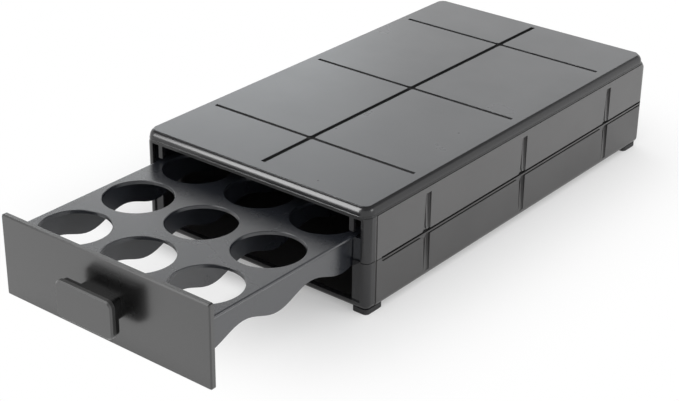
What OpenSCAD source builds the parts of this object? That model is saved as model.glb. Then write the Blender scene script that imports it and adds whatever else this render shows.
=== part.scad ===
// Countertop drawer for single-serve coffee pods: a two-part moulded case with a grooved cover,
// and a sliding tray whose deck hangs the pods in rows of holes.
// The cover's front edge is at y = 0 before everything is set on its origin by at_origin().

/* [Pods] */
// Diameter of each hole that a pod hangs in
hole_d = 46.6; // [42:0.1:50]
// Distance between neighbouring hole centres
hole_pitch = 55.2; // [54:0.1:62]
// Holes across the tray
hole_cols = 3; // [2:1:4]
// Holes from front to back
hole_rows = 6; // [3:1:8]
// Height from the case floor to the top of the deck
pod_room = 49; // [46:0.5:60]
// Chamfer round each hole's upper edge
hole_lead = 0.4; // [0.2:0.1:1]

/* [Tray] */
// Thickness of the deck
deck_t = 2.4; // [1.8:0.1:3.2]
// Deck outside the outer columns of the hole grid
deck_side = 1.2; // [0.8:0.1:4]
// First hole's centre to the deck's front edge
deck_front = 27.2; // [26:0.1:34]
// Last hole's centre to the deck's back edge
deck_back = 27.6; // [26:0.1:34]
// Deck lip that overhangs the outer walls and runs on the guides
deck_lip = 3.1; // [2.6:0.1:4]
// Thickness of the two outer walls
wall_t = 2.2; // [1.6:0.1:3]
// Thickness of the walls between the columns
divider_t = 2; // [1.4:0.1:3]
// Thickness of the tray's back wall
back_t = 2; // [1.4:0.1:3]
// Mean depth of the walls below the deck
wall_depth = 18.1; // [14:0.1:24]
// Rise and fall of the walls' wavy lower edge
wave_rise = 3.9; // [1:0.1:6]
// Length of one wave of the lower edge
wave_pitch = 61; // [40:0.5:80]
// Height of the lugs that stop the tray at full opening
lug_h = 5; // [4:0.1:6]
// Length of the stop lugs
lug_l = 8; // [4:0.5:16]
// Length of tray that stays in the case at full opening
kept_in = 70; // [50:1:150]

/* [Drawer front] */
// Thickness of the front panel
front_t = 3.6; // [3:0.1:6]
// Bevel round the panel's face
front_bevel = 0.8; // [0.3:0.1:1.2]
// Corner radius of the panel
front_r = 1.6; // [1.4:0.1:4]
// Panel's top edge above the deck
front_rise = 10.9; // [8:0.1:16]
// Drawer opening that the model shows, from closed
drawer_out = 129.4; // [0:0.1:250]

/* [Handle] */
// Width of the handle's pad
pad_w = 47.5; // [40:0.5:70]
// Height of the pad
pad_h = 25.8; // [22:0.1:34]
// Thickness of the pad
pad_t = 3.5; // [2.5:0.1:5]
// Corner radius of the pad
pad_r = 5; // [3:0.1:8]
// Bevel round the pad's face
pad_bevel = 1.1; // [0.5:0.1:1.6]
// Thickness of the plate behind the pad
backing_t = 3.4; // [2:0.1:5]
// How far the backing plate lies inside the pad's outline
backing_inset = 0.9; // [0.5:0.1:2]
// Width of the handle's stem
stem_w = 32; // [28:0.5:38]
// Height of the stem
stem_h = 15; // [12:0.5:17]
// Length of the stem, the room for fingers
stem_l = 8.8; // [6:0.1:14]
// Corner radius of the stem
stem_r = 3; // [2:0.1:5]
// Handle's centre below the panel's centre
handle_drop = 0.5; // [0:0.1:4]
// Distance between the two handle screws
handle_screw_pitch = 18; // [14:0.5:20]

/* [Case] */
// Thickness of the case walls
case_t = 2.4; // [2:0.1:3]
// Thickness of the case floor
floor_t = 2.4; // [2:0.1:3.5]
// Radius of the case's upright corners
case_r = 4.6; // [4.4:0.1:6]
// Radius of the cover's corners, which the top of the shells' corners takes up
cover_r = 8.4; // [7:0.1:10]
// Height over which the shells' corners come in to the cover's
corner_blend = 5; // [3:0.1:8]
// Rounding round the case's lower edge
base_round = 4; // [1:0.1:4.4]
// Height of the lower shell
lower_h = 33.4; // [28:0.1:36]
// Width of each front post
post_w = 6.2; // [5.4:0.1:10]
// Deck edge to the mouth's edge
side_room = 4.8; // [3.6:0.1:8]
// Height of the rail below the mouth
rail_h = 5; // [4:0.1:8]
// Height of the bar above the mouth
lip_h = 2.3; // [1.5:0.1:4]
// Cover's front edge ahead of the case's front face
cover_lead = 1.5; // [1:0.1:5]
// Mouth flanges set back from the case's front face
flange_set = 1.1; // [0.5:0.1:1.2]
// Reach of each mouth flange into the opening
flange_reach = 7; // [5:0.1:7.4]
// Rounding of each flange's upper corner
flange_r = 1.4; // [1:0.1:5]
// Width of the tabs that hold the deck down
tab_w = 3.4; // [2.5:0.1:5]
// Mouth's side to the middle of each tab
tab_in = 7.4; // [6:0.1:12]
// Deck to the tabs' lower ends
tab_gap = 2.1; // [1:0.1:3]

/* [Guides] */
// Thickness of the guides' ledge and leg
guide_t = 2.5; // [2:0.1:3]
// Height of the guides' leg above the ledge
guide_leg = 9; // [6:0.5:12]

/* [Cover] */
// Shell's back behind the cover's
cover_back = 1; // [0.5:0.1:2]
// Height of the cover
cover_h = 7; // [6:0.1:12]
// Thickness of the cover's top
cover_t = 2.4; // [2:0.1:3]
// Width of the cover's rim at its seat
cover_rim = 5.4; // [5.2:0.1:8]
// Inset of the rolled edge at the top
roll_inset = 3.2; // [2.4:0.1:4]
// Shell outline outside the cover's
cover_step = 0.3; // [0.1:0.1:0.6]
// Height of the upright edge under the roll
cover_edge = 1; // [0.5:0.1:2]
// Roll set in from the upright edge
roll_step = 0.2; // [0.1:0.05:0.5]
// Step from the roll up to the cover's flat top
top_step = 0.7; // [0.3:0.1:1]
// Height of the shadow gap between the shells
reveal_h = 0.5; // [0.3:0.1:0.8]
// Height of the shadow gap under the cover
cover_reveal = 0.3; // [0.2:0.1:0.8]
// Depth of the shadow gaps
reveal_deep = 0.8; // [0.4:0.1:1.2]

/* [Grooves] */
// Width of the grooves
groove_w = 1.8; // [1:0.1:2.2]
// Depth of the grooves
groove_deep = 1.2; // [0.5:0.1:1.2]
// Greatest width of the side grooves, at the band
side_groove_w = 3; // [1:0.1:3.4]
// Rounding of the fields where grooves cross
field_r = 4; // [2:0.1:6]
// Step by which the side panels stand out from the front posts
panel_step = 0.5; // [0.2:0.1:0.8]
// Case's front face to the side panels
panel_start = 9; // [7:0.1:13]
// Number of grooves across the case
groove_n = 3; // [1:1:5]
// Cover's front edge to the first cross groove
groove_first = 60.8; // [50:0.1:70]
// Distance between cross grooves
groove_pitch = 111.8; // [80:0.1:130]
// Cover's side edges to the ends of its cross grooves
groove_side = 9.7; // [8:0.1:16]
// Cover's front edge to the start of its long groove
groove_start = 12.3; // [9:0.1:20]
// End of the long groove to the cover's back edge
groove_end = 8.6; // [8:0.1:20]
// Height of the recessed band under the seam
band_h = 2.8; // [2:0.1:4]
// Rounding of the band's lower corners
band_r = 2; // [1:0.1:3]
// Case's front face to the start of the band
band_start = 14; // [10:0.5:24]
// End of the band to the case's back
band_end = 3.5; // [2:0.5:12]
// Case's lower and upper edges to the ends of the side grooves
side_groove_end = 4.4; // [4:0.1:10]

/* [Feet] */
// Height of the feet
foot_h = 3.5; // [2:0.1:8]
// Width of each foot
foot_w = 12.2; // [10:0.1:18]
// Length of each foot
foot_l = 16.8; // [10:0.1:24]
// Feet set in from the case's outline
foot_inset = 1.8; // [0.5:0.1:2.4]
// Corner radius of the feet
foot_r = 2.6; // [1:0.1:4]

/* [Fasteners] */
// Radius of the case screws' shanks
screw_r = 1.5; // [1.3:0.1:1.8]
// Radius of the case screws' heads
screw_head_r = 2.8; // [2.6:0.1:3]
// Height of the case screws' heads
screw_head_h = 2; // [1.6:0.1:2.6]
// Gap between the screw bosses and the guides above them
boss_room = 2.5; // [1:0.1:4]
// Plastic under each case screw's head
screw_seat = 4; // [3:0.5:8]
// Wall of the screw bosses
boss_t = 1.3; // [1:0.1:1.4]
// Case's front and back to the screws
screw_end = 24; // [20:0.5:30]
// Radius of the handle screws' shanks
handle_screw_r = 2; // [1.5:0.1:2.2]
// Radius of the handle screws' heads
handle_head_r = 3.8; // [3:0.1:4.4]
// Height of the handle screws' heads
handle_head_h = 2.4; // [1.6:0.1:3]

/* [Clearances] */
// Gap between pieces that slide on or stop against each other
run_gap = 0.3; // [0.2:0.05:0.5]
// Gap between the drawer front and the mouth's sides
mouth_side_gap = 2; // [1:0.1:3]
// Gap between the drawer front and the rail
mouth_low_gap = 1; // [0.6:0.1:4]
// Gap between the drawer front and the bar above it
mouth_top_gap = 0.5; // [0.3:0.1:2]
// Gap between the tray walls and the guides
guide_gap = 0.5; // [0.3:0.1:1]
// Gap between the closed tray and the case's back wall
rear_gap = 5.3; // [1:0.1:10]
// Gap round the screws
screw_gap = 0.1; // [0.05:0.05:0.2]

/* [Hidden] */
$fn = 64;

// Overrun of every cut past the face it opens
over = 1;
// Segments of the rolled and rounded edges
roll_steps = 8;
// Segments of one wave
wave_steps = 16;

// Diagonal gap between two corners, as a share of the difference of their radii
corner_flare = sqrt(2) - 1;

// Colours
shell_grey = [0.09, 0.09, 0.1];
tray_grey = [0.08, 0.08, 0.09];
pad_grey = [0.12, 0.12, 0.13];
rubber_black = [0.04, 0.04, 0.04];
steel = [0.6, 0.6, 0.62];

// Tray, across
deck_w = hole_cols * hole_pitch + 2 * deck_side;
wall_outer = deck_w / 2 - deck_lip;
// Case, across
mouth_w = deck_w + 2 * side_room;
case_w = mouth_w + 2 * post_w;
front_w = mouth_w - 2 * mouth_side_gap;
case_inner = case_w / 2 - case_t;
// Heights
floor_top = foot_h + floor_t;
seam_z = foot_h + lower_h;
deck_top = floor_top + pod_room;
deck_low = deck_top - deck_t;
front_top = deck_top + front_rise;
mouth_low = foot_h + rail_h;
front_low = mouth_low + mouth_low_gap;
mouth_top = front_top + mouth_top_gap;
upper_top = mouth_top + lip_h;
case_h = upper_top + cover_h;
// Tabs, and the lugs that meet them
tab_x = mouth_w / 2 - tab_in;
// Front to back, from the cover's front edge
case_front = cover_lead;
closed_y = case_front - run_gap - front_t;
front_y = closed_y - drawer_out;
deck_l = deck_front + (hole_rows - 1) * hole_pitch + deck_back;
tray_l = front_t + deck_l + back_t;
case_back = closed_y + tray_l + rear_gap + case_t;
cover_l = case_back - cover_back;
deck_y = front_y + front_t;
deck_end = deck_y + deck_l;
shell_l = case_back - case_front;
// Full opening from closed, where the lugs meet the tabs
tab_back = case_front + case_t;
lug_front = tray_l - kept_in;
travel = closed_y + lug_front - tab_back - run_gap;
// Handle
front_h = front_top - front_low;
handle_z = (front_top + front_low) / 2 - handle_drop;
handle_y = front_y - stem_l - backing_t - pad_t;
// The origin is at the middle of the stored part's base
middle_y = (handle_y + case_back) / 2;
// Grooves
cross_y = [for (i = [0:groove_n - 1]) groove_first + i * groove_pitch];
side_low = foot_h + side_groove_end;
side_high = upper_top - side_groove_end;
// Case screws, whose bite in the upper shell ends below the guides
guide_top = deck_low - run_gap;
screw_bite = guide_top - guide_t - boss_room - boss_t - seam_z;
boss_r = screw_head_r + screw_gap + boss_t;
boss_x = case_inner - boss_r + boss_t / 2;
boss_y = [case_front + screw_end, case_back - screw_end];

echo(case_w = case_w, case_back = case_back, case_h = case_h, travel = travel, middle_y = middle_y);

module at_origin() {
    translate([0, -middle_y, 0]) children();
}

// Shared shapes

module round_rect(w, l, r) {
    square([w - 2 * r, l], center = true);
    square([w, l - 2 * r], center = true);
    for (x = [-1, 1], y = [-1, 1])
        translate([x * (w / 2 - r), y * (l / 2 - r)]) circle(r);
}

// Section of a slab whose edge follows points of [inset, height]
module slab_section(half, edge) {
    last = len(edge) - 1;
    right = [for (p = edge) [half - p[0], p[1]]];
    left = [for (i = [last:-1:0]) [edge[i][0] - half, edge[i][1]]];
    polygon(concat(right, left));
}

// Slab with round corners and the same edge all the way round
module edged_slab(w, l, r, edge) {
    last = len(edge) - 1;
    rotate([90, 0, 0]) linear_extrude(l - 2 * r, center = true) slab_section(w / 2, edge);
    rotate([90, 0, 90]) linear_extrude(w - 2 * r, center = true) slab_section(l / 2, edge);
    corner = concat([[0, edge[0][1]]], [for (p = edge) [r - p[0], p[1]]], [[0, edge[last][1]]]);
    for (x = [-1, 1], y = [-1, 1])
        translate([x * (w / 2 - r), y * (l / 2 - r), 0]) rotate_extrude() polygon(corner);
}

// Points of an arc that starts upright and leans in by inset over the height
function lean_in(inset, height) =
    let (radius = (inset * inset + height * height) / (2 * inset), turn = asin(height / radius))
    [for (i = [0:roll_steps]) let (a = turn * i / roll_steps)
        [radius * (1 - cos(a)), radius * sin(a)]];

// Points of a quarter ellipse from an upright side to a level top
function round_over(inset, height) =
    [for (i = [0:roll_steps]) let (a = 90 * i / roll_steps) [inset * (1 - cos(a)), height * sin(a)]];

// Points of a quarter round below an upright side
function round_under(radius, height) = concat(
    [for (i = [0:roll_steps]) let (a = 90 * i / roll_steps)
        [radius * (1 - sin(a)), radius * (1 - cos(a))]],
    [[0, height]]);

// Straight groove along x with round ends
module groove(length, width) {
    square([length - width, width], center = true);
    for (x = [-1, 1]) translate([x * (length - width) / 2, 0]) circle(width / 2);
}

// Added where two grooves cross, so that the four fields have round corners
module crossing(width, height) {
    difference() {
        square([width + 2 * field_r, height + 2 * field_r], center = true);
        for (x = [-1, 1], y = [-1, 1])
            translate([x * (width / 2 + field_r), y * (height / 2 + field_r)]) circle(field_r);
    }
}

// Case

module cover_grooves() {
    translate([0, (groove_start + cover_l - groove_end) / 2]) rotate(90)
        groove(cover_l - groove_start - groove_end, groove_w);
    for (y = cross_y) translate([0, y]) {
        groove(case_w - 2 * groove_side, groove_w);
        crossing(groove_w, groove_w);
    }
}

module top_cover() {
    w = case_w - 2 * cover_step;
    roll = [for (p = round_over(roll_inset - roll_step, cover_h - cover_edge - top_step))
        [p[0] + roll_step, p[1] + cover_edge]];
    edge = concat([[0, 0], [0, cover_edge]], roll, [[roll_inset, cover_h]]);
    color(shell_grey) at_origin() difference() {
        translate([0, cover_l / 2, upper_top])
            edged_slab(w, cover_l, cover_r, edge);
        translate([0, cover_l / 2, upper_top - over])
            linear_extrude(cover_h - cover_t + over)
            round_rect(w - 2 * cover_rim, cover_l - 2 * cover_rim, cover_r - cover_rim);
        translate([0, 0, case_h - groove_deep]) linear_extrude(groove_deep + over) cover_grooves();
    }
}

// Upright grooves of one side, drawn flat: x is front to back and y is height.
// Each is widest at the band under the seam and runs out to a point above and below.
module side_pattern() {
    band_mid = seam_z - band_h / 2;
    for (y = cross_y) translate([y, 0]) {
        polygon([[0, side_low], [side_groove_w / 2, band_mid], [0, side_high], [-side_groove_w / 2, band_mid]]);
        translate([0, band_mid]) crossing(side_groove_w, band_h);
    }
}

// The band's upper half lies above the seam, so only its lower corners show their rounding
module band_pattern() {
    band_l = shell_l - band_start - band_end;
    translate([case_front + band_start + band_l / 2, seam_z]) round_rect(band_l, 2 * band_h, band_r);
}

module cut_sides() {
    for (x = [-1, 1]) translate([x * (case_w / 2 + over / 2 - groove_deep / 2), 0, 0])
        rotate([90, 0, 90]) linear_extrude(groove_deep + over, center = true) children();
}

// Outline that meets the sides at the top and clears the corners below, to round their upper ends
module corner_tops() {
    flare = (cover_r - case_r) * corner_flare;
    tall = lean_in(flare, corner_blend);
    translate([0, case_front + shell_l / 2, upper_top - corner_blend])
        edged_slab(case_w + 2 * flare, shell_l + 2 * flare, cover_r + flare, concat([[0, -upper_top]], tall));
}

// Shadow gap round the case, from z up
module reveal(z, height) {
    shell_block(z, height) difference() {
        round_rect(case_w + 2 * over, shell_l + 2 * over, case_r + over);
        round_rect(case_w - 2 * reveal_deep, shell_l - 2 * reveal_deep, case_r - reveal_deep);
    }
}

module shell_block(z, height) {
    translate([0, case_front + shell_l / 2, z]) linear_extrude(height) children();
}

// The shells' outline: the posts lie a step inside the side panels behind them
module shell_outline() {
    translate([0, -shell_l / 4]) round_rect(case_w - 2 * panel_step, shell_l / 2, case_r);
    intersection() {
        round_rect(case_w, shell_l, case_r);
        translate([0, panel_start]) square([case_w + over, shell_l], center = true);
    }
}

// The same outline with a rounded lower edge
module shell_base() {
    edge = round_under(base_round, lower_h);
    translate([0, -shell_l / 4, 0]) edged_slab(case_w - 2 * panel_step, shell_l / 2, case_r, edge);
    intersection() {
        edged_slab(case_w, shell_l, case_r, edge);
        translate([-case_w, panel_start - shell_l / 2, -over]) cube([2 * case_w, shell_l, lower_h + 2 * over]);
    }
}

module inner_outline() {
    round_rect(2 * case_inner, shell_l - 2 * case_t, case_r - case_t);
}

module boss_places() {
    for (x = [-1, 1], y = boss_y) translate([x * boss_x, y, 0]) children();
}

module upper_shell() {
    color(shell_grey) at_origin() difference() {
        union() {
            difference() {
                intersection() {
                    shell_block(seam_z, upper_top - seam_z) shell_outline();
                    corner_tops();
                }
                shell_block(seam_z - over, upper_top - seam_z + 2 * over) inner_outline();
                translate([-mouth_w / 2, case_front - over, seam_z - over])
                    cube([mouth_w, case_t + 2 * over, mouth_top - seam_z + over]);
                cut_sides() side_pattern();
                reveal(seam_z, reveal_h);
                reveal(upper_top - cover_reveal, cover_reveal + over);
            }
            for (x = [-1, 1]) translate([x * tab_x, 0, 0])
                translate([-tab_w / 2, case_front, deck_top + tab_gap])
                cube([tab_w, case_t, mouth_top - deck_top - tab_gap]);
            boss_places() translate([0, 0, seam_z]) cylinder(screw_bite + boss_t, r = boss_r);
        }
        boss_places() translate([0, 0, seam_z - over])
            cylinder(screw_bite + over, r = screw_r + screw_gap);
    }
}

module lower_shell() {
    color(shell_grey) at_origin() difference() {
        union() {
            difference() {
                translate([0, case_front + shell_l / 2, foot_h]) shell_base();
                shell_block(floor_top, lower_h) inner_outline();
                cut_sides() {
                    side_pattern();
                    band_pattern();
                }
                mouth_cut();
            }
            boss_places() translate([0, 0, floor_top]) cylinder(seam_z - floor_top, r = boss_r);
        }
        boss_places() {
            translate([0, 0, foot_h - over]) cylinder(lower_h + 2 * over, r = screw_r + screw_gap);
            translate([0, 0, foot_h - over])
                cylinder(seam_z - screw_seat - foot_h + over, r = screw_head_r + screw_gap);
        }
    }
}

// Opening between the flanges, and the step that sets them back from the posts
module mouth_cut() {
    open_w = mouth_w - 2 * flange_reach;
    translate([0, case_front + case_t + over, mouth_low]) rotate([90, 0, 0])
        linear_extrude(case_t + 2 * over) mouth_outline(open_w);
    translate([-mouth_w / 2, case_front - over, mouth_low])
        cube([mouth_w, flange_set + over, lower_h]);
}

module mouth_outline(open_w) {
    top = seam_z - mouth_low;
    translate([-open_w / 2, 0]) square([open_w, lower_h]);
    for (x = [-1, 1]) translate([x * open_w / 2, top]) difference() {
        square(2 * flange_r, center = true);
        translate([x * flange_r, -flange_r]) circle(flange_r);
    }
}

// L-shaped rail that carries the deck's lip, with a plate across its front, for the side given by x
module guide(x) {
    inner = wall_outer + guide_gap;
    start = case_front + case_t;
    length = case_back - case_t - start;
    intersection() {
        shell_block(seam_z, upper_top - seam_z) inner_outline();
        mirror([x < 0 ? 1 : 0, 0, 0]) {
            translate([0, start + length, guide_top - guide_t]) rotate([90, 0, 0]) linear_extrude(length) {
                translate([inner, 0]) square([case_inner - inner, guide_t]);
                translate([case_inner - guide_t, 0]) square([guide_t, guide_t + guide_leg]);
            }
            translate([inner, start, seam_z]) cube([case_inner - inner, guide_t, guide_top - seam_z]);
        }
    }
}

module guide_left() {
    color(tray_grey) at_origin() guide(-1);
}

module guide_right() {
    color(tray_grey) at_origin() guide(1);
}

module case_screws() {
    color(steel) at_origin() boss_places() translate([0, 0, seam_z - screw_seat]) {
        cylinder(screw_seat + screw_bite - over, r = screw_r);
        translate([0, 0, -screw_head_h]) cylinder(screw_head_h, r = screw_head_r);
    }
}

// Corner pad, for the side given by x and the end given by y
module foot(x, y) {
    end = y < 0 ? case_front + foot_inset : case_back - foot_inset;
    outline_l = shell_l - 2 * foot_inset;
    color(rubber_black) at_origin() linear_extrude(foot_h) intersection() {
        translate([0, case_front + shell_l / 2])
            round_rect(case_w - 2 * foot_inset, outline_l, case_r - foot_inset);
        translate([x * (case_w / 2 - foot_inset - foot_w / 2), end - y * foot_l / 2])
            round_rect(foot_w, foot_l, foot_r);
    }
}

module foot_front_left() {
    foot(-1, -1);
}

module foot_front_right() {
    foot(1, -1);
}

module foot_back_left() {
    foot(-1, 1);
}

module foot_back_right() {
    foot(1, 1);
}

// Tray

module hole_places() {
    for (i = [0:hole_cols - 1], j = [0:hole_rows - 1])
        translate([(i - (hole_cols - 1) / 2) * hole_pitch, deck_y + deck_front + j * hole_pitch, 0])
        children();
}

module tray_deck() {
    color(tray_grey) at_origin() {
        difference() {
            translate([0, deck_end, deck_low + deck_t / 2]) rotate([90, 0, 0]) linear_extrude(deck_l) {
                square([deck_w - deck_t, deck_t], center = true);
                for (x = [-1, 1]) translate([x * (deck_w - deck_t) / 2, 0]) circle(deck_t / 2);
            }
            hole_places() {
                translate([0, 0, deck_low - over]) cylinder(deck_t + 2 * over, d = hole_d);
                translate([0, 0, deck_top - hole_lead])
                    cylinder(hole_lead + over, r1 = hole_d / 2, r2 = hole_d / 2 + hole_lead + over);
            }
        }
        for (x = [-1, 1]) translate([x * tab_x - tab_w / 2, front_y + lug_front, deck_top])
            cube([tab_w, lug_l, lug_h]);
    }
}

// Depth of the walls at a distance behind the drawer front
function wall_low(s) = deck_low - wall_depth - wave_rise * cos(360 * s / wave_pitch);

module wavy_wall(thickness) {
    count = ceil(deck_l / wave_pitch * wave_steps);
    low = [for (i = [count:-1:0]) let (s = deck_l * i / count) [s, wall_low(s)]];
    rotate([90, 0, 90]) linear_extrude(thickness, center = true)
        polygon(concat([[0, deck_low], [deck_l, deck_low]], low));
}

module tray_wall(x) {
    color(tray_grey) at_origin()
        translate([x * (wall_outer - wall_t / 2), deck_y, 0]) wavy_wall(wall_t);
}

module tray_wall_left() {
    tray_wall(-1);
}

module tray_wall_right() {
    tray_wall(1);
}

// Dividers between the columns, on the side given by x
module tray_divider(x) {
    color(tray_grey) at_origin()
        for (i = [1:hole_cols - 1]) let (place = (i - hole_cols / 2) * hole_pitch)
        if (x * place > 0 || (place == 0 && x > 0))
            translate([place, deck_y, 0]) wavy_wall(divider_t);
}

module tray_divider_left() {
    tray_divider(-1);
}

module tray_divider_right() {
    tray_divider(1);
}

module tray_back() {
    low = deck_low - wall_depth - wave_rise;
    color(tray_grey) at_origin() translate([-wall_outer, deck_end, low])
        cube([2 * wall_outer, back_t, deck_top - low]);
}

// Drawer front and handle

// Turns a slab so that its top faces the front, with its back at y = 0
module facing_front() {
    rotate([90, 0, 0]) children();
}

function bevelled(thickness, bevel) = [[0, 0], [0, thickness - bevel], [bevel, thickness]];

module handle_screw_places() {
    for (x = [-1, 1]) translate([x * handle_screw_pitch / 2, 0, handle_z]) children();
}

module drawer_front() {
    color(shell_grey) at_origin() difference() {
        translate([0, front_y + front_t, (front_top + front_low) / 2]) facing_front()
            edged_slab(front_w, front_h, front_r, bevelled(front_t, front_bevel));
        handle_screw_places() translate([0, front_y + front_t + over, 0]) facing_front()
            cylinder(front_t + 2 * over, r = handle_screw_r + screw_gap);
    }
}

module handle_stem() {
    backing_w = pad_w - 2 * backing_inset;
    backing_h = pad_h - 2 * backing_inset;
    color(shell_grey) at_origin() difference() {
        translate([0, front_y, handle_z]) facing_front() {
            linear_extrude(stem_l + backing_t) round_rect(stem_w, stem_h, stem_r);
            translate([0, 0, stem_l]) linear_extrude(backing_t)
                round_rect(backing_w, backing_h, pad_r - backing_inset);
        }
        handle_screw_places() translate([0, front_y + over, 0]) facing_front()
            cylinder(stem_l + over, r = handle_screw_r + screw_gap);
    }
}

module handle_pad() {
    color(pad_grey) at_origin() translate([0, front_y - stem_l - backing_t, handle_z])
        facing_front() edged_slab(pad_w, pad_h, pad_r, bevelled(pad_t, pad_bevel));
}

module handle_screws() {
    color(steel) at_origin() handle_screw_places() translate([0, front_y + front_t, 0]) {
        facing_front() cylinder(front_t + stem_l - over, r = handle_screw_r);
        translate([0, handle_head_h, 0]) facing_front() cylinder(handle_head_h, r = handle_head_r);
    }
}

top_cover();
upper_shell();
lower_shell();
guide_left();
guide_right();
case_screws();
foot_front_left();
foot_front_right();
foot_back_left();
foot_back_right();
tray_deck();
tray_wall_left();
tray_wall_right();
tray_divider_left();
tray_divider_right();
tray_back();
drawer_front();
handle_stem();
handle_pad();
handle_screws();
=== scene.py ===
"""Looks of the coffee pod drawer: moulded plastic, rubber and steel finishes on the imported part, the
grooves and the seam of its case cut once more, a white studio round it, and the camera at the
photograph's angle. Metres throughout."""
import itertools
import math

import bpy
from mathutils import Matrix, Vector


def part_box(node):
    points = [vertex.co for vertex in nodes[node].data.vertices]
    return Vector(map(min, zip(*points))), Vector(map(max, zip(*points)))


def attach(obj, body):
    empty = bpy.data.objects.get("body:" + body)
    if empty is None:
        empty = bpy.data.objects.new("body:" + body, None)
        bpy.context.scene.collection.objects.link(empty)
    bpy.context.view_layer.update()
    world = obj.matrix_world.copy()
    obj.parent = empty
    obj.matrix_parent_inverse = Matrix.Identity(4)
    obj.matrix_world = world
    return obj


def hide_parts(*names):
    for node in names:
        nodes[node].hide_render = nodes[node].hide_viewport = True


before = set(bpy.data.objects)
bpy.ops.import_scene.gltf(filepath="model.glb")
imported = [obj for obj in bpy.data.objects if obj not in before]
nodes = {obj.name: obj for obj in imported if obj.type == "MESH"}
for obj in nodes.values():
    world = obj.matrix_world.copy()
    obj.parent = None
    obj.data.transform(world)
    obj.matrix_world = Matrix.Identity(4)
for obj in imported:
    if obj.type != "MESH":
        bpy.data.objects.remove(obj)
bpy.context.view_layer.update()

MM = 0.001

# Camera: a long lens to the right of the open drawer
camera_azimuth = 38.464
camera_elevation = 26.61
camera_roll = 0.705
camera_distance = 1074.5 * MM
camera_aim = Vector((28.6, -41.1, 40)) * MM
camera_near = 0.05
camera_far = 50
sensor_width = 36
focal_pixels = 1627.1
image_width = 679

# Floor: its colour, how much of plain white it shows by the case, the painted pool of white in front of
# it, and the painted shade that reflections see by the tray
floor_size = 6.0
floor_white = 0.95
floor_glow = 0.30
fade_start = 0.02
fade_end = 0.13
front_fade = 0.03
front_glow = 0.75
front_right = 0.045
front_middle = 0.005
tray_glow = 0.35
tray_fade = 0.03

# Sky: the light that it gives, and the heights at which a white backdrop turns into a dimmer ceiling
sky_light = 1.0
backdrop_top = 0.40
ceiling_start = 0.62
ceiling_light = 0.25

# Lamps at the front: the size of both and the point that they face
front_aim = (0, -0.05, 0.06)
front_width = 0.80
front_height = 1.30

# Grooves of the cover, placed from its front and back edges
cut_w = 3.6 * MM
cross_w = 3.0 * MM
cut_deep = 1.7 * MM
long_start = 12.3 * MM
long_end = 8.6 * MM
cross_first = 60.8 * MM
cross_pitch = 111.8 * MM
cross_count = 3
cross_reach = 85.3 * MM

# Grooves of the sides, in line with the cover's crossings
shell_half = 95 * MM
side_front = 0.2 * MM
side_back = 5.8 * MM
side_deep_front = 0.4 * MM
side_deep_back = 2.1 * MM
side_foot_share = 0.4
side_top = 64.2 * MM
side_bottom = 7.9 * MM

# Seam between the shells: a gap in the upper one above a rib on the lower one
seam_start = -81.6 * MM
seam_end = 241.1 * MM
seam_low = 36.35 * MM
seam_high = 37.9 * MM
gap_deep = 1.6 * MM
rib_low = 35.1 * MM
rib_in = 93.2 * MM
rib_out = 94.9 * MM

# Cutters: how round their edges are, and how far they stand out of the face they cut
cut_rounding = 0.5 * MM
rib_rounding = 0.25 * MM
rounding_steps = 3
over = 1 * MM
merge_distance = 0.001 * MM
smooth_angle = math.radians(35)

# Plastic: mould grain, soft edges, wear and gloss
plastic_ior = 1.5
skin_ior = 1.6
grain_size = 0.4 * MM
grain_depth = 0.01 * MM
rubber_grain_size = 0.7 * MM
rubber_grain_depth = 0.03 * MM
soft_edge = 0.4 * MM
fine_edge = 0.15 * MM
edge_samples = 4
patch_size = 0.05
patch_low = 0.3
patch_high = 0.7
gloss_spread = 0.05
wear_reach = 2
wear_start = 0.995
wear_full = 0.85
wear_share = 0.5
rubbed_gain = 1.7
rubbed_lift = 0.01

# Polished faces: a step inside the textured ones, or within a post's depth of the mouth
polished_colour = (0.014, 0.014, 0.015)
step_depth = 0.2 * MM
post_depth = 7.6 * MM
far_away = 10.0

# Painted shade in gaps: its near black colour and roughness, and the boxes round the floors of the
# cover's grooves and round the seam in which it is painted
painted_gap_shade_colour = (0.002, 0.002, 0.002)
gap_roughness = 0.8
cover_gap_below = 1.7 * MM
cover_gap_half = (87 * MM, 162 * MM, 1.2 * MM)
seam_gap_side = 94.5 * MM
seam_gap_half_width = 2.5 * MM
seam_gap_spare = 0.05 * MM

# Screws
steel_colour = (0.55, 0.55, 0.57, 1)
steel_grain_size = 0.3 * MM
steel_patch_size = 2 * MM
steel_roughness = (0.25, 0.45)


def deselect_all():
    """Leave nothing selected and nothing active."""
    for thing in list(bpy.context.selected_objects):
        thing.select_set(False)
    bpy.context.view_layer.objects.active = None


deselect_all()


# Shader nodes

def set_inputs(made, values):
    """Give a node's inputs their values, each named by its label with underscores for spaces."""
    for name, value in values.items():
        made.inputs[name.replace("_", " ")].default_value = value


def add_node(tree, kind, **values):
    """A node of one kind, with values for its inputs."""
    made = tree.nodes.new(kind)
    set_inputs(made, values)
    return made


def place_group(tree, group, **values):
    """A node group placed in a material, with values for its inputs."""
    made = tree.nodes.new("ShaderNodeGroup")
    made.node_tree = group
    set_inputs(made, values)
    return made


def math_node(tree, operation, a, b=None):
    """The result of an operation on one or two values, each a number or another node's output."""
    made = tree.nodes.new("ShaderNodeMath")
    made.operation = operation
    for place, value in enumerate((a, b)):
        if value is None:
            continue
        if isinstance(value, (int, float)):
            made.inputs[place].default_value = value
        else:
            tree.links.new(value, made.inputs[place])
    return made.outputs[0]


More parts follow.
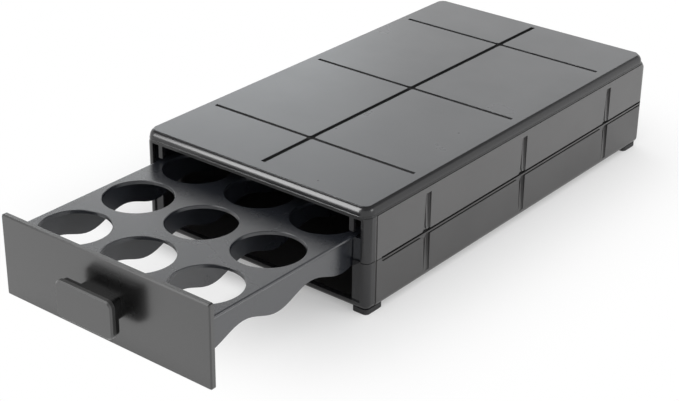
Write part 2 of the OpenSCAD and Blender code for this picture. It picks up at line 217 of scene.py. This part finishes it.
def mix_node(tree, kind, factor, a, b):
    """A mix of two colours or two values, from a, where the factor is 0, to b, where it is 1."""
    made = tree.nodes.new("ShaderNodeMix")
    made.data_type = kind
    tree.links.new(factor, made.inputs["Factor"])
    for label, value in (("A", a), ("B", b)):
        if isinstance(value, tuple):
            made.inputs[label].default_value = (*value, 1)
        elif isinstance(value, float):
            made.inputs[label].default_value = value
        else:
            tree.links.new(value, made.inputs[label])
    return made.outputs["Result"]


def ramp(tree, value, start, end, low=0.0, high=1.0):
    """Smooth change from low, where the value is start, to high, where it is end."""
    made = add_node(tree, "ShaderNodeMapRange", From_Min=start, From_Max=end, To_Min=low, To_Max=high)
    made.interpolation_type = "SMOOTHSTEP"
    tree.links.new(value, made.inputs["Value"])
    return made.outputs["Result"]


def object_place(tree):
    """The place of the point that is shaded, in metres."""
    return tree.nodes.new("ShaderNodeTexCoord").outputs["Object"]


def split_vector(tree, vector):
    """The outputs X, Y and Z of a vector."""
    made = tree.nodes.new("ShaderNodeSeparateXYZ")
    tree.links.new(vector, made.inputs["Vector"])
    return made.outputs


def empty_material(name):
    """A material with nothing but its output, and its node tree."""
    made = bpy.data.materials.new(name)
    made.use_nodes = True
    tree = made.node_tree
    tree.nodes.clear()
    return made, tree, tree.nodes.new("ShaderNodeOutputMaterial")


# Shared effects, as node groups

def group_with(name, inputs, outputs):
    """A node group with named inputs and outputs, and the nodes at its two ends."""
    tree = bpy.data.node_groups.new(name, "ShaderNodeTree")
    for label, kind, value in inputs:
        made = tree.interface.new_socket(label, in_out="INPUT", socket_type=kind)
        made.default_value = value
    for label, kind in outputs:
        tree.interface.new_socket(label, in_out="OUTPUT", socket_type=kind)
    start = tree.nodes.new("NodeGroupInput")
    end = tree.nodes.new("NodeGroupOutput")
    return tree, start, end


def moulded_grain_group():
    """Fine spark-eroded grain of a plastic mould, as a height, and slow patches that vary its gloss."""
    tree, start, end = group_with(
        "moulded_grain",
        [("Grain Size", "NodeSocketFloat", grain_size), ("Patch Size", "NodeSocketFloat", patch_size)],
        [("Height", "NodeSocketFloat"), ("Patches", "NodeSocketFloat")],
    )
    place = object_place(tree)
    fine = add_node(tree, "ShaderNodeTexNoise", Detail=3.0, Roughness=0.6)
    slow = add_node(tree, "ShaderNodeTexNoise", Detail=4.0, Roughness=0.55)
    for noise, size, result in ((fine, "Grain Size", "Height"), (slow, "Patch Size", "Patches")):
        tree.links.new(place, noise.inputs["Vector"])
        tree.links.new(math_node(tree, "DIVIDE", 1.0, start.outputs[size]), noise.inputs["Scale"])
        tree.links.new(noise.outputs["Fac"], end.inputs[result])
    return tree


def shadow_gap_group():
    """Mask that is 1 inside a box and its mirror image on the left, where shade is painted into a gap.
    """
    tree, start, end = group_with(
        "shadow_gap",
        [("Centre", "NodeSocketVector", (0, 0, 0)), ("Half", "NodeSocketVector", (0, 0, 0))],
        [("Mask", "NodeSocketFloat")],
    )
    place = split_vector(tree, object_place(tree))
    centre = split_vector(tree, start.outputs["Centre"])
    half = split_vector(tree, start.outputs["Half"])
    inside = []
    for axis in ("X", "Y", "Z"):
        at = math_node(tree, "ABSOLUTE", place["X"]) if axis == "X" else place[axis]
        off = math_node(tree, "ABSOLUTE", math_node(tree, "SUBTRACT", at, centre[axis]))
        inside.append(math_node(tree, "LESS_THAN", off, half[axis]))
    both = math_node(tree, "MULTIPLY", inside[0], inside[1])
    tree.links.new(math_node(tree, "MULTIPLY", both, inside[2]), end.inputs["Mask"])
    return tree


def edge_wear_group():
    """Mask that is 1 on rubbed edges and 0 on open faces."""
    tree, start, end = group_with(
        "edge_wear",
        [("Reach", "NodeSocketFloat", wear_reach * soft_edge)],
        [("Mask", "NodeSocketFloat")],
    )
    bevel = tree.nodes.new("ShaderNodeBevel")
    bevel.samples = edge_samples
    tree.links.new(start.outputs["Reach"], bevel.inputs["Radius"])
    shape = tree.nodes.new("ShaderNodeNewGeometry")
    dot = tree.nodes.new("ShaderNodeVectorMath")
    dot.operation = "DOT_PRODUCT"
    tree.links.new(bevel.outputs["Normal"], dot.inputs[0])
    tree.links.new(shape.outputs["Normal"], dot.inputs[1])
    spread = add_node(tree, "ShaderNodeMapRange", From_Min=wear_start, From_Max=wear_full,
                      To_Min=0.0, To_Max=1.0)
    tree.links.new(dot.outputs["Value"], spread.inputs["Value"])
    tree.links.new(spread.outputs["Result"], end.inputs["Mask"])
    return tree


def open_faces_group():
    """Mask that is 1 past a half width, a top or a back, where the mould's texture shows."""
    tree, start, end = group_with(
        "open_faces",
        [(label, "NodeSocketFloat", 1.0) for label in ("Half Width", "Top", "Back")],
        [("Mask", "NodeSocketFloat")],
    )
    place = split_vector(tree, object_place(tree))
    across = math_node(tree, "ABSOLUTE", place["X"])
    side = math_node(tree, "GREATER_THAN", across, start.outputs["Half Width"])
    top = math_node(tree, "GREATER_THAN", place["Z"], start.outputs["Top"])
    back = math_node(tree, "GREATER_THAN", place["Y"], start.outputs["Back"])
    either = math_node(tree, "MAXIMUM", side, top)
    tree.links.new(math_node(tree, "MAXIMUM", either, back), end.inputs["Mask"])
    return tree


moulded_grain = moulded_grain_group()
shadow_gap = shadow_gap_group()
edge_wear = edge_wear_group()
open_faces = open_faces_group()


# Finishes

def moulded_plastic(name, colour, roughness, faces=None, gap=None, coat=1.0, grain=grain_size,
                    depth=grain_depth, edge=soft_edge, polished_roughness=0.14):
    """Moulded plastic, textured, with soft edges that are rubbed a little paler. Faces gives the half
    width, top and back of a box in which it is polished instead, and gap the centre and half size of
    one in which shade is painted: near black, rough and without coat."""
    made, tree, out = empty_material(name)
    shader = add_node(tree, "ShaderNodeBsdfPrincipled", IOR=plastic_ior, Coat_IOR=skin_ior,
                      Coat_Roughness=roughness, Coat_Weight=coat)
    tree.links.new(shader.outputs["BSDF"], out.inputs["Surface"])
    texture = place_group(tree, moulded_grain, Grain_Size=grain)
    wear = place_group(tree, edge_wear, Reach=wear_reach * edge)
    rubbed = tuple(min(1.0, share * rubbed_gain + rubbed_lift) for share in colour)
    worn = math_node(tree, "MULTIPLY", wear.outputs["Mask"], wear_share)
    paint = mix_node(tree, "RGBA", worn, colour, rubbed)
    gloss = add_node(tree, "ShaderNodeMapRange", From_Min=patch_low, From_Max=patch_high,
                     To_Min=roughness - gloss_spread, To_Max=roughness + gloss_spread)
    tree.links.new(texture.outputs["Patches"], gloss.inputs["Value"])
    gloss = gloss.outputs["Result"]
    height = texture.outputs["Height"]
    if faces:
        zone = place_group(tree, open_faces, Half_Width=faces[0], Top=faces[1], Back=faces[2])
        mask = zone.outputs["Mask"]
        paint = mix_node(tree, "RGBA", mask, polished_colour, paint)
        gloss = mix_node(tree, "FLOAT", mask, polished_roughness, gloss)
        height = math_node(tree, "MULTIPLY", height, mask)
        coat = math_node(tree, "MULTIPLY", mask, coat)
    # Painted shade: inside the gap's box the plastic turns near black, rough and without coat
    if gap:
        painted_shade = place_group(tree, shadow_gap, Centre=gap[0], Half=gap[1]).outputs["Mask"]
        paint = mix_node(tree, "RGBA", painted_shade, paint, painted_gap_shade_colour)
        gloss = mix_node(tree, "FLOAT", painted_shade, gloss, gap_roughness)
        coat = math_node(tree, "MULTIPLY", math_node(tree, "SUBTRACT", 1.0, painted_shade), coat)
    if faces or gap:
        tree.links.new(coat, shader.inputs["Coat Weight"])
    tree.links.new(paint, shader.inputs["Base Color"])
    tree.links.new(gloss, shader.inputs["Roughness"])
    soft = add_node(tree, "ShaderNodeBevel", Radius=edge)
    soft.samples = edge_samples
    bump = add_node(tree, "ShaderNodeBump", Strength=1.0, Distance=depth)
    tree.links.new(height, bump.inputs["Height"])
    tree.links.new(soft.outputs["Normal"], bump.inputs["Normal"])
    tree.links.new(bump.outputs["Normal"], shader.inputs["Normal"])
    return made


def brushed_steel(name):
    """Plain steel with a gloss that changes in small patches."""
    made, tree, out = empty_material(name)
    shader = add_node(tree, "ShaderNodeBsdfPrincipled", Metallic=1.0, Base_Color=steel_colour)
    tree.links.new(shader.outputs["BSDF"], out.inputs["Surface"])
    texture = place_group(tree, moulded_grain, Grain_Size=steel_grain_size,
                          Patch_Size=steel_patch_size)
    gloss = add_node(tree, "ShaderNodeMapRange", To_Min=steel_roughness[0], To_Max=steel_roughness[1])
    tree.links.new(texture.outputs["Patches"], gloss.inputs["Value"])
    tree.links.new(gloss.outputs["Result"], shader.inputs["Roughness"])
    return made


cover_low, cover_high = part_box("top_cover")
shell_low, shell_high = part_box("upper_shell")
cover_faces = (far_away, cover_high[2] - step_depth, far_away)
shell_faces = (shell_high[0] - step_depth, far_away, shell_low[1] + post_depth)

# Boxes in which shade is painted: the floors of the cover's grooves, and the seam gap on both sides
cover_gap = ((0, (cover_low[1] + cover_high[1]) / 2, cover_high[2] - cover_gap_below), cover_gap_half)
seam_gap = ((seam_gap_side, (seam_start + seam_end) / 2, (seam_low + seam_high) / 2),
            (seam_gap_half_width, (seam_end - seam_start) / 2,
             (seam_high - seam_low) / 2 + seam_gap_spare))

cover_plastic = moulded_plastic("cover_plastic", (0.024, 0.027, 0.032), 0.32, coat=0.85,
                                faces=cover_faces, gap=cover_gap, polished_roughness=0.22)
# The upper shell's colour and coat are lighter than the lower shell's: painted light on the upper and
# painted shade on the lower, for how a draft would turn them towards the light and towards the shaded
# floor
upper_plastic_painted_light = moulded_plastic("upper_plastic_painted_light", (0.027, 0.026, 0.026), 0.42, coat=0.8,
                                faces=shell_faces, gap=seam_gap)
lower_plastic_painted_shade = moulded_plastic("lower_plastic_painted_shade", (0.021, 0.020, 0.020), 0.42, coat=0.45,
                                faces=shell_faces, gap=seam_gap)
front_plastic = moulded_plastic("front_plastic", (0.010, 0.010, 0.010), 0.25, edge=fine_edge)
# The stem is near black and without coat: painted shade for the shadow behind the handle's pad
stem_plastic_painted_shade = moulded_plastic("stem_plastic_painted_shade", (0.003, 0.003, 0.003), 0.18, coat=0.0, edge=fine_edge)
tray_plastic = moulded_plastic("tray_plastic", (0.015, 0.017, 0.022), 0.26, edge=fine_edge)
pad_plastic = moulded_plastic("pad_plastic", (0.020, 0.020, 0.020), 0.34, coat=0.9)
foot_rubber = moulded_plastic("foot_rubber", (0.018, 0.018, 0.019), 0.65, coat=0.0,
                              grain=rubber_grain_size, depth=rubber_grain_depth)
screw_steel = brushed_steel("screw_steel")

# The tray and the guides, which the table leaves out, take the tray's plastic
finish_of = {
    "top_cover": cover_plastic,
    "upper_shell": upper_plastic_painted_light,
    "lower_shell": lower_plastic_painted_shade,
    "drawer_front": front_plastic,
    "handle_stem": stem_plastic_painted_shade,
    "handle_pad": pad_plastic,
    "handle_screws": screw_steel,
    "case_screws": screw_steel,
    "foot_front_left": foot_rubber,
    "foot_front_right": foot_rubber,
    "foot_back_left": foot_rubber,
    "foot_back_right": foot_rubber,
}
for name, thing in nodes.items():
    thing.data.materials.clear()
    thing.data.materials.append(finish_of.get(name, tray_plastic))


# Grooves: the photo shows them wider than the case's own, so copies of the case are cut again

def groove_cutter(places, rounding=cut_rounding):
    """A bar with rounded edges. Its eight places are named by whether they are right, back and high."""
    bpy.ops.mesh.primitive_cube_add(size=1)
    made = bpy.context.object
    for corner in made.data.vertices:
        corner.co = places[tuple(value > 0 for value in corner.co)]
    soft = made.modifiers.new("rounding", "BEVEL")
    soft.width = rounding
    soft.segments = rounding_steps
    bpy.ops.object.modifier_apply(modifier=soft.name)
    return made


def bar_cutter(low, high, rounding=cut_rounding):
    """A straight bar between its lowest and its highest corner."""
    places = {}
    for ends in itertools.product((False, True), repeat=3):
        places[ends] = [high[axis] if far else low[axis] for axis, far in enumerate(ends)]
    return groove_cutter(places, rounding)


def leaf_cutter(side, y, low, high):
    """An upright groove of one side, deeper at its back edge and shallow at its foot."""
    places = {}
    for back, up in itertools.product((False, True), repeat=2):
        deep = side_deep_back if back else side_deep_front
        if not up:
            deep *= side_foot_share
        at = y + (side_back if back else side_front)
        level = high if up else low
        places[(side > 0, back, up)] = (side * (shell_half + over), at, level)
        places[(side < 0, back, up)] = (side * (shell_half - deep), at, level)
    return groove_cutter(places)


def seam_bar(side, inner, outer, low, high):
    """A bar along one side for the whole length of the seam."""
    left, right = sorted((side * inner, side * outer))
    return bar_cutter((left, seam_start, low), (right, seam_end, high), rib_rounding)


def recut(name, cutters, ribs=()):
    """Put a copy of a case node, cut once more and with ribs added, in the node's place."""
    made = bpy.data.objects.new(name + "_grooved", nodes[name].data.copy())
    bpy.context.collection.objects.link(made)
    deselect_all()
    made.select_set(True)
    bpy.context.view_layer.objects.active = made
    bpy.ops.mesh.customdata_custom_splitnormals_clear()
    bpy.ops.object.mode_set(mode="EDIT")
    bpy.ops.mesh.select_all(action="SELECT")
    bpy.ops.mesh.remove_doubles(threshold=merge_distance)
    bpy.ops.object.mode_set(mode="OBJECT")
    for tool in [*cutters, *ribs]:
        cut = made.modifiers.new("cut", "BOOLEAN")
        cut.object = tool
        cut.operation = "UNION" if tool in ribs else "DIFFERENCE"
        cut.solver = "EXACT"
        bpy.ops.object.modifier_apply(modifier=cut.name)
    bpy.ops.object.shade_smooth_by_angle(angle=smooth_angle)
    for tool in [*cutters, *ribs]:
        bpy.data.objects.remove(tool)
    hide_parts(name)
    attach(made, "case")
    deselect_all()


def recut_case():
    """Cut the cover's long groove and its crossings, the side grooves, and the seam with its rib."""
    front, back, top = cover_low[1], cover_high[1], cover_high[2]
    across = [front + cross_first + i * cross_pitch for i in range(cross_count)]
    bars = [bar_cutter((-cut_w / 2, front + long_start, top - cut_deep),
                       (cut_w / 2, back - long_end, top + over))]
    for y in across:
        bars.append(bar_cutter((-cross_reach, y - cross_w / 2, top - cut_deep),
                               (cross_reach, y + cross_w / 2, top + over)))
    recut("top_cover", bars)
    sides = (-1, 1)
    leaves = [leaf_cutter(side, y, seam_low, side_top) for side in sides for y in across]
    gaps = [seam_bar(side, shell_half - gap_deep, shell_half + over, seam_low, seam_high)
            for side in sides]
    recut("upper_shell", [*leaves, *gaps])
    leaves = [leaf_cutter(side, y, side_bottom, seam_high) for side in sides for y in across]
    ribs = [seam_bar(side, rib_in, rib_out, rib_low, seam_low) for side in sides]
    recut("lower_shell", leaves, ribs)


recut_case()


# Camera

def make_camera():
    """The photograph's camera, turned and rolled round the point that it aims at."""
    turn = math.radians(camera_azimuth)
    rise = math.radians(camera_elevation)
    forward = Vector((-math.sin(turn) * math.cos(rise), math.cos(turn) * math.cos(rise),
                      -math.sin(rise)))
    right = forward.cross(Vector((0, 0, 1))).normalized()
    up = right.cross(forward)
    roll = math.radians(camera_roll)
    across = right * math.cos(roll) + up * math.sin(roll)
    upward = up * math.cos(roll) - right * math.sin(roll)
    data = bpy.data.cameras.new("photo_camera")
    data.sensor_width = sensor_width
    data.lens = focal_pixels / image_width * sensor_width
    data.clip_start = camera_near
    data.clip_end = camera_far
    made = bpy.data.objects.new("photo_camera", data)
    bpy.context.collection.objects.link(made)
    turned = Matrix((across, upward, -forward)).transposed().to_4x4()
    made.matrix_world = Matrix.Translation(camera_aim - forward * camera_distance) @ turned
    bpy.context.scene.camera = made


make_camera()


# Studio: white floor and sky, and soft lamps

def distance_outside(tree, box):
    """Distance on the floor from the outline of a box, 0 inside it."""
    low, high = box
    place = split_vector(tree, object_place(tree))
    squares = []
    for axis in (0, 1):
        centre = (low[axis] + high[axis]) / 2
        half = (high[axis] - low[axis]) / 2
        off = math_node(tree, "ABSOLUTE", math_node(tree, "SUBTRACT", place[axis], centre))
        past = math_node(tree, "MAXIMUM", math_node(tree, "SUBTRACT", off, half), 0.0)
        squares.append(math_node(tree, "MULTIPLY", past, past))
    return math_node(tree, "SQRT", math_node(tree, "ADD", squares[0], squares[1]))


def make_floor():
    """White paper that keeps the object's shadow. The camera and reflections see it turn plain white
    away from the case. In front of the case the camera sees a painted pool of white, and by the tray
    reflections see painted shade."""
    bpy.ops.mesh.primitive_plane_add(size=floor_size)
    made = bpy.context.object
    made.name = "floor"
    white, tree, out = empty_material("floor_white")
    paper = add_node(tree, "ShaderNodeBsdfDiffuse", Color=(floor_white, floor_white, floor_white, 1))
    glow = add_node(tree, "ShaderNodeEmission", Color=(1, 1, 1, 1), Strength=1.0)
    place = split_vector(tree, object_place(tree))
    case_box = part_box("lower_shell")
    case_front = case_box[0][1]
    away = ramp(tree, distance_outside(tree, case_box), fade_start, fade_end, floor_glow, 1.0)
    # Painted light: a pool of white that only the camera sees on the floor in front of the case, left
    # of the middle, where the drawer's shadow falls
    before = ramp(tree, place["Y"], case_front, case_front - front_fade, 0.0, front_glow)
    leftwards = ramp(tree, place["X"], front_right, front_middle)
    painted_light_ahead = math_node(tree, "MULTIPLY", before, leftwards)
    # Painted shade: reflections see less white on the floor by the tray
    by_tray = distance_outside(tree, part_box("tray_deck"))
    tray_shade = ramp(tree, by_tray, 0.0, tray_fade, tray_glow, 1.0)
    path = tree.nodes.new("ShaderNodeLightPath")
    seen = math_node(tree, "MAXIMUM", away, painted_light_ahead)
    seen = math_node(tree, "MULTIPLY", seen, path.outputs["Is Camera Ray"])
    mirrored = math_node(tree, "MAXIMUM", path.outputs["Is Glossy Ray"],
                         path.outputs["Is Transmission Ray"])
    mirrored = math_node(tree, "MULTIPLY", math_node(tree, "MULTIPLY", away, tray_shade), mirrored)
    mix = tree.nodes.new("ShaderNodeMixShader")
    tree.links.new(math_node(tree, "MAXIMUM", seen, mirrored), mix.inputs["Fac"])
    tree.links.new(paper.outputs["BSDF"], mix.inputs[1])
    tree.links.new(glow.outputs["Emission"], mix.inputs[2])
    tree.links.new(mix.outputs["Shader"], out.inputs["Surface"])
    made.data.materials.append(white)
    deselect_all()


def make_sky():
    """An even white light. The camera and reflections see a white backdrop under a dimmer ceiling."""
    world = bpy.data.worlds.new("white_studio")
    bpy.context.scene.world = world
    world.use_nodes = True
    tree = world.node_tree
    tree.nodes.clear()
    seen = add_node(tree, "ShaderNodeBackground", Color=(1, 1, 1, 1))
    lit = add_node(tree, "ShaderNodeBackground", Color=(1, 1, 1, 1), Strength=sky_light)
    direction = tree.nodes.new("ShaderNodeTexCoord").outputs["Generated"]
    height = split_vector(tree, direction)["Z"]
    ceiling = ramp(tree, height, backdrop_top, ceiling_start, 1.0, ceiling_light)
    tree.links.new(ceiling, seen.inputs["Strength"])
    path = tree.nodes.new("ShaderNodeLightPath")
    looked = math_node(tree, "MAXIMUM", path.outputs["Is Camera Ray"], path.outputs["Is Glossy Ray"])
    looked = math_node(tree, "MAXIMUM", looked, path.outputs["Is Transmission Ray"])
    mix = tree.nodes.new("ShaderNodeMixShader")
    tree.links.new(looked, mix.inputs["Fac"])
    tree.links.new(lit.outputs["Background"], mix.inputs[1])
    tree.links.new(seen.outputs["Background"], mix.inputs[2])
    out = tree.nodes.new("ShaderNodeOutputWorld")
    tree.links.new(mix.outputs["Shader"], out.inputs["Surface"])


def softbox(name, place, aim, width, height, power, colour=(1, 1, 1)):
    """A soft rectangular lamp that faces a point."""
    data = bpy.data.lights.new(name, "AREA")
    data.shape = "RECTANGLE"
    data.size = width
    data.size_y = height
    data.energy = power
    data.color = colour
    made = bpy.data.objects.new(name, data)
    bpy.context.collection.objects.link(made)
    made.location = place
    made.rotation_mode = "QUATERNION"
    made.rotation_quaternion = (Vector(aim) - Vector(place)).to_track_quat("-Z", "Y")
    return made


def make_lamps():
    """Two lamps at the front that show only in reflections, one of them on the cover alone, and a weak
    lamp at the right and at the back."""
    fill_lamp = softbox("fill_softbox", place=(-0.55, -1.05, 0.80), aim=front_aim,
                        width=front_width, height=front_height, power=6.0)
    fill_lamp.visible_diffuse = False
    cover_lamp = softbox("front_softbox", place=(-0.50, -0.95, 0.72), aim=front_aim,
                         width=front_width, height=front_height, power=28.0)
    cover_lamp.visible_diffuse = False
    lit_pieces = bpy.data.collections.new("lit_by_front_softbox")
    lit_pieces.objects.link(bpy.data.objects["top_cover_grooved"])
    cover_lamp.light_linking.receiver_collection = lit_pieces
    softbox("side_softbox", place=(1.05, 0.25, 0.50), aim=(0, 0, 0.06),
            width=0.45, height=0.35, power=2.2)
    softbox("back_softbox", place=(-1.42, 1.12, 0.42), aim=(0, 0.05, 0.05),
            width=0.90, height=0.45, power=2.2, colour=(0.90, 0.96, 1.0))


make_floor()
make_sky()
make_lamps()

bpy.context.scene.view_settings.view_transform = "Standard"
